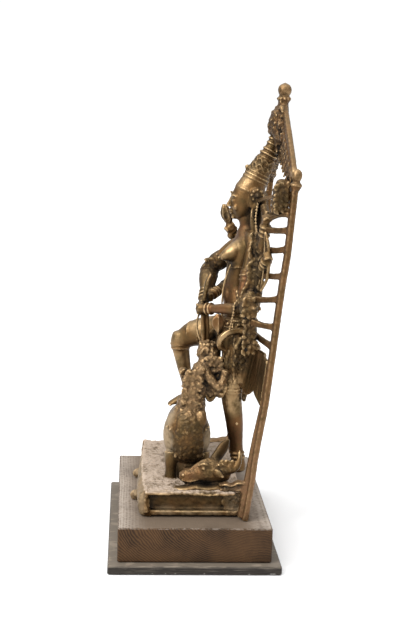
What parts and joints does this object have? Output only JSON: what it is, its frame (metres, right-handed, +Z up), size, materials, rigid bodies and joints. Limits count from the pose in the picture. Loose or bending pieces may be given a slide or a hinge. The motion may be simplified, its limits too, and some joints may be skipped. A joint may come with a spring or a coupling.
{
  "type": "durga figure",
  "caption": "Small cast bronze of the goddess Durga spearing the buffalo demon before a tied-in arch, on an oak block and a thin black plate.",
  "frame": {"origin": "the middle of the plate's underside", "axes": "+Z up, -Y the way the goddess faces, +X towards her left hand"},
  "size_m": [0.159, 0.113, 0.3039],
  "materials": {
    "black_board": "black paint, scuffed at the edges",
    "oak": "dark stained, waxed, open grain",
    "bronze": "warm brown patina, rubbed to gold on the high places"
  },
  "bodies": {
    "root": {"base_plate": "black_board", "oak_block": "oak", "bronze_durga": "bronze"}
  },
  "joints": []
}
